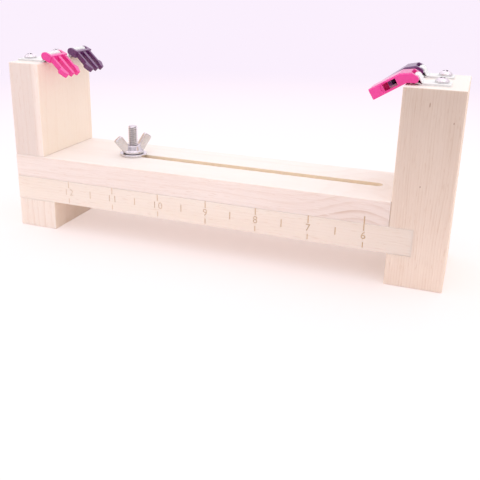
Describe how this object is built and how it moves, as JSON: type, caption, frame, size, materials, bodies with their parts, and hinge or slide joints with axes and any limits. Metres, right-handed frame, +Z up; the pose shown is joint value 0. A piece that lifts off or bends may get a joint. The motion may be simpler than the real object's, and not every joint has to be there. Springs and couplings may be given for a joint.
{
  "type": "paracord bracelet jig",
  "caption": "Pine bracelet jig: a slotted board with a post slides along a rail with an inch rule, is clamped by a wing nut, and holds buckle halves opposite those on a fixed post.",
  "frame": {"origin": "on the ground, under the middle of the frame with the sliding board closed", "axes": "+X along the rail towards the fixed post, +Y from the front with the rule to the back, +Z up"},
  "size_m": [0.2196, 0.047, 0.0943],
  "materials": {
    "pine": "planed and unvarnished",
    "zinc": "bright zinc",
    "pink": "moulded, glossy",
    "violet": "moulded, glossy",
    "tape": "woven"
  },
  "bodies": {
    "frame": {"base_rail": "pine", "fixed_post": "pine", "end_foot": "pine", "clamp_bolt": "zinc", "clamp_washer": "zinc", "foot_screws": "zinc", "post_screws": "zinc", "fixed_top_screws": "zinc", "front_sleeve_tab": "tape", "back_sleeve_tab": "tape"},
    "slide": {"slide_board": "pine", "moving_post": "pine", "upright_screws": "zinc", "moving_top_screws": "zinc", "front_prong_tab": "tape", "back_prong_tab": "tape"},
    "nut": {"wing_nut": "zinc"},
    "front_sleeve": {"front_sleeve_half": "pink"},
    "back_sleeve": {"back_sleeve_half": "violet"},
    "front_prong": {"front_prong_half": "pink"},
    "back_prong": {"back_prong_half": "violet"}
  },
  "joints": [
    {"name": "board_slide", "type": "slide", "parent": "frame", "child": "slide", "axis": [-1, 0, 0], "range_m": [0, 0.128]},
    {"name": "nut_turn", "type": "hinge", "parent": "frame", "child": "nut", "pos_m": [-0.05355, 0, 0.041], "axis": [0, 0, 1], "continuous": true},
    {"name": "front_sleeve_swing", "type": "hinge", "parent": "frame", "child": "front_sleeve", "pos_m": [0.08835, -0.0115, 0.09145], "axis": [0, 1, 0], "range_deg": [0, 110]},
    {"name": "back_sleeve_swing", "type": "hinge", "parent": "frame", "child": "back_sleeve", "pos_m": [0.08808, 0.0115, 0.09175], "axis": [0, 1, 0], "range_deg": [0, 110]},
    {"name": "front_prong_swing", "type": "hinge", "parent": "slide", "child": "front_prong", "pos_m": [-0.09175, -0.0115, 0.08985], "axis": [0, -1, 0], "range_deg": [-40, 110]},
    {"name": "back_prong_swing", "type": "hinge", "parent": "slide", "child": "back_prong", "pos_m": [-0.09175, 0.0115, 0.08985], "axis": [0, -1, 0], "range_deg": [-40, 110]}
  ]
}
